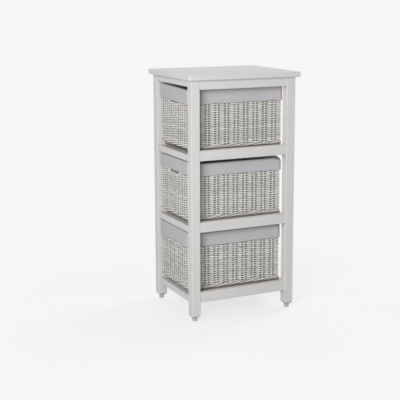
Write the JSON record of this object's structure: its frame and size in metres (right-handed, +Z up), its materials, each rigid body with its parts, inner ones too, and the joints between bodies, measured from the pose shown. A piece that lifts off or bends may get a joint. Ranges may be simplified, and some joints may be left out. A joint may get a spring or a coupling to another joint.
{
  "type": "drawer unit",
  "caption": "Freestanding drawer unit: an open frame of painted wood posts, rails and shelves under a flat top, with cloth-lined wicker baskets that pull out at the front.",
  "frame": {"origin": "floor, under the middle of the unit", "axes": "+Z up, -Y towards the drawer fronts, +X to the right of someone facing them"},
  "size_m": [0.302, 0.358, 0.72],
  "materials": {
    "painted_wood": "pale warm-grey satin paint over close-grained wood",
    "wicker": "peeled willow with a thin pale grey wash",
    "liner_cloth": "plain-weave cotton, lilac grey",
    "foot_plastic": "moulded glide, pale grey",
    "dowel_wood": "bare beech"
  },
  "bodies": {
    "frame": {"back_lower_rail": "painted_wood", "back_middle_rail": "painted_wood", "back_top_rail": "painted_wood", "back_upper_rail": "painted_wood", "front_left_foot": "foot_plastic", "front_left_post": "painted_wood", "front_lower_rail": "painted_wood", "front_middle_rail": "painted_wood", "front_right_foot": "foot_plastic", "front_right_post": "painted_wood", "front_top_rail": "painted_wood", "front_upper_rail": "painted_wood", "left_lower_rail": "painted_wood", "left_middle_rail": "painted_wood", "left_top_rail": "painted_wood", "left_upper_rail": "painted_wood", "lower_left_runner": "painted_wood", "lower_right_runner": "painted_wood", "lower_shelf": "painted_wood", "middle_left_runner": "painted_wood", "middle_right_runner": "painted_wood", "middle_shelf": "painted_wood", "rear_left_foot": "foot_plastic", "rear_left_post": "painted_wood", "rear_right_foot": "foot_plastic", "rear_right_post": "painted_wood", "right_lower_rail": "painted_wood", "right_middle_rail": "painted_wood", "right_top_rail": "painted_wood", "right_upper_rail": "painted_wood", "top_board": "painted_wood", "top_dowels": "dowel_wood", "upper_left_runner": "painted_wood", "upper_right_runner": "painted_wood", "upper_shelf": "painted_wood"},
    "lower_basket": {"lower_basket_base": "wicker", "lower_basket_border": "wicker", "lower_basket_liner": "liner_cloth", "lower_basket_wall": "wicker"},
    "middle_basket": {"middle_basket_base": "wicker", "middle_basket_border": "wicker", "middle_basket_liner": "liner_cloth", "middle_basket_wall": "wicker"},
    "upper_basket": {"upper_basket_base": "wicker", "upper_basket_border": "wicker", "upper_basket_liner": "liner_cloth", "upper_basket_wall": "wicker"}
  },
  "joints": [
    {"name": "lower_basket_slide", "type": "slide", "parent": "frame", "child": "lower_basket", "axis": [0, -1, 0], "range_m": [0, 0.2]},
    {"name": "middle_basket_slide", "type": "slide", "parent": "frame", "child": "middle_basket", "axis": [0, -1, 0], "range_m": [0, 0.2]},
    {"name": "upper_basket_slide", "type": "slide", "parent": "frame", "child": "upper_basket", "axis": [0, -1, 0], "range_m": [0, 0.2]}
  ]
}
